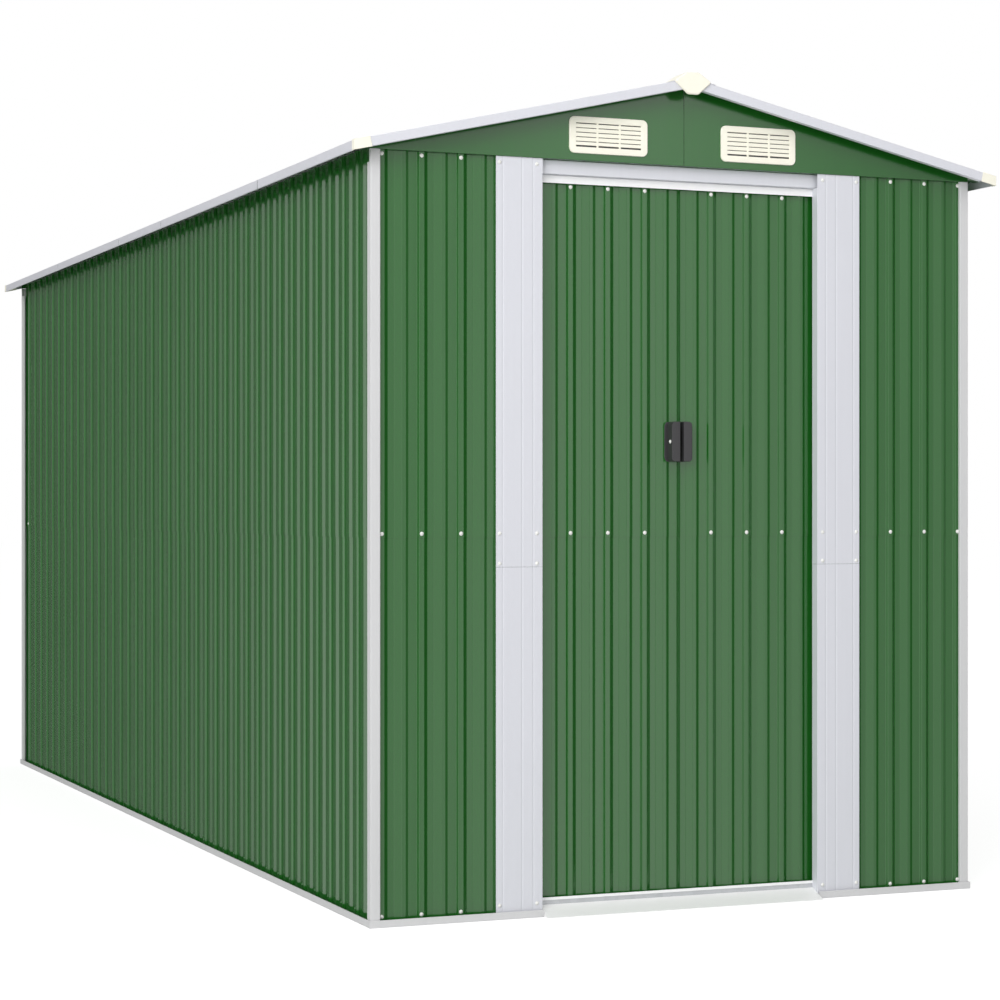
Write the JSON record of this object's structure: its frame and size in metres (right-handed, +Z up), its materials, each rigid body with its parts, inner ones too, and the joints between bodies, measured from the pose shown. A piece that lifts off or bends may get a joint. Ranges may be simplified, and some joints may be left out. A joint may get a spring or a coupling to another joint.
{
  "type": "metal storage shed",
  "caption": "Ridge-roofed garden storage shed of green ribbed sheet steel with light trims, gable vents and a pair of sliding doors over a ramp.",
  "frame": {"origin": "middle of the base, on the ground", "axes": "+X to the right along the door front, +Y from the front to the back, +Z up"},
  "size_m": [1.922, 4.4126, 2.245],
  "materials": {
    "green_sheet": "coil-coated sheet steel, satin green",
    "white_trim": "coil-coated folded steel, satin off-white",
    "grey_frame": "coil-coated folded steel, satin light grey",
    "zinc": "galvanised folded steel, dull spangle",
    "cream_plastic": "moulded polypropylene, satin cream",
    "black_plastic": "moulded polypropylene, fine black grain"
  },
  "bodies": {
    "shed": {"front_left_wall": "green_sheet", "front_right_wall": "green_sheet", "left_wall": "green_sheet", "right_wall": "green_sheet", "back_wall": "green_sheet", "front_gable": "green_sheet", "back_gable": "green_sheet", "roof_left": "green_sheet", "roof_right": "green_sheet", "left_jamb": "white_trim", "right_jamb": "white_trim", "door_header": "white_trim", "top_track": "white_trim", "ramp": "white_trim", "eave_trim_left": "white_trim", "eave_trim_right": "white_trim", "rake_trim_front": "white_trim", "rake_trim_back": "white_trim", "ridge_cap": "white_trim", "base_rail_front": "grey_frame", "base_rail_left": "grey_frame", "base_rail_right": "grey_frame", "base_rail_back": "grey_frame", "corner_post_front_left": "grey_frame", "corner_post_front_right": "grey_frame", "corner_post_back_left": "grey_frame", "corner_post_back_right": "grey_frame", "bottom_track": "zinc", "left_top_rail": "zinc", "right_top_rail": "zinc", "back_top_rail": "zinc", "left_mid_rail": "zinc", "right_mid_rail": "zinc", "back_mid_rail": "zinc", "ridge_beam": "zinc", "left_purlin": "zinc", "right_purlin": "zinc", "front_vents": "cream_plastic", "back_vents": "cream_plastic", "ridge_end_caps": "cream_plastic", "corner_caps": "cream_plastic"},
    "left_door": {"left_door_sheet": "green_sheet", "left_door_frame": "zinc", "left_door_handle": "black_plastic", "left_door_gliders": "black_plastic"},
    "right_door": {"right_door_sheet": "green_sheet", "right_door_frame": "zinc", "right_door_handle": "black_plastic", "right_door_gliders": "black_plastic"}
  },
  "joints": [
    {"name": "left_door_slide", "type": "slide", "parent": "shed", "child": "left_door", "axis": [-1, 0, 0], "range_m": [0, 0.36]},
    {"name": "right_door_slide", "type": "slide", "parent": "shed", "child": "right_door", "axis": [1, 0, 0], "range_m": [0, 0.36]}
  ]
}
